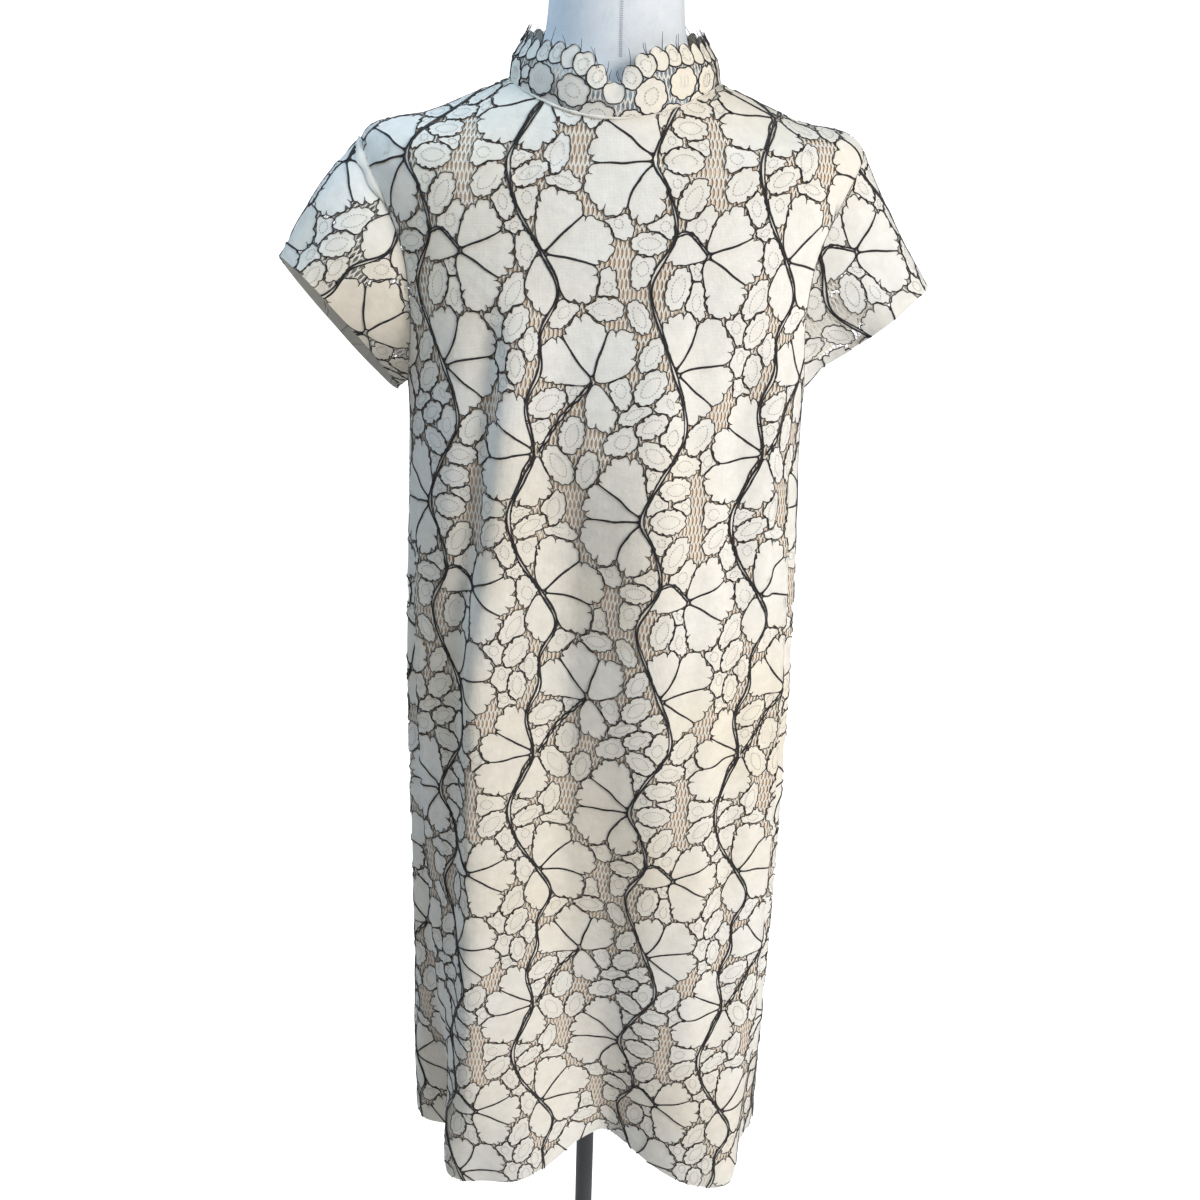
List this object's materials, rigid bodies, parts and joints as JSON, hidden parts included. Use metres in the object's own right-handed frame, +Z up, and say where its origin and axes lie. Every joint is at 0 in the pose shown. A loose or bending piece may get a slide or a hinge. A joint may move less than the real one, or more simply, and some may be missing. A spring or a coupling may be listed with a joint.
{
  "type": "shift dress on a dress form",
  "caption": "Short-sleeved knee-length shift dress of corded lace over a lining, with a scalloped stand collar, on a limbless dress form with a pole and round foot.",
  "frame": {"origin": "middle of the round foot's underside, on the floor", "axes": "+Z up along the pole, -Y towards the dress's front, +X towards the wearer's left"},
  "size_m": [0.494, 0.36, 1.5483],
  "materials": {
    "ivory_lace": "matt ivory cotton leaves and honeycomb net",
    "black_cord": "twisted black outlining cord",
    "beige_satin": "soft beige lining with a low sheen",
    "form_linen": "pale blue-white linen cover",
    "form_wood": "satin varnish",
    "grey_metal": "dark grey satin paint",
    "zip_metal": "satin nickel"
  },
  "bodies": {
    "dressed_form": {"dress_front": "ivory_lace", "dress_back_left": "ivory_lace", "dress_back_right": "ivory_lace", "sleeve_left": "ivory_lace", "sleeve_right": "ivory_lace", "collar": "ivory_lace", "lining_front": "beige_satin", "lining_back_left": "beige_satin", "lining_back_right": "beige_satin", "zip_slider": "zip_metal", "form_torso": "form_linen", "form_neck_cap": "form_wood", "form_pole": "grey_metal", "form_foot": "grey_metal"},
    "zip_pull": {"zip_pull": "zip_metal"}
  },
  "joints": [
    {"name": "pull_swing", "type": "hinge", "parent": "dressed_form", "child": "zip_pull", "pos_m": [0, 0.06928, 1.4652], "axis": [1, 0, 0], "range_deg": [0, 150]}
  ]
}
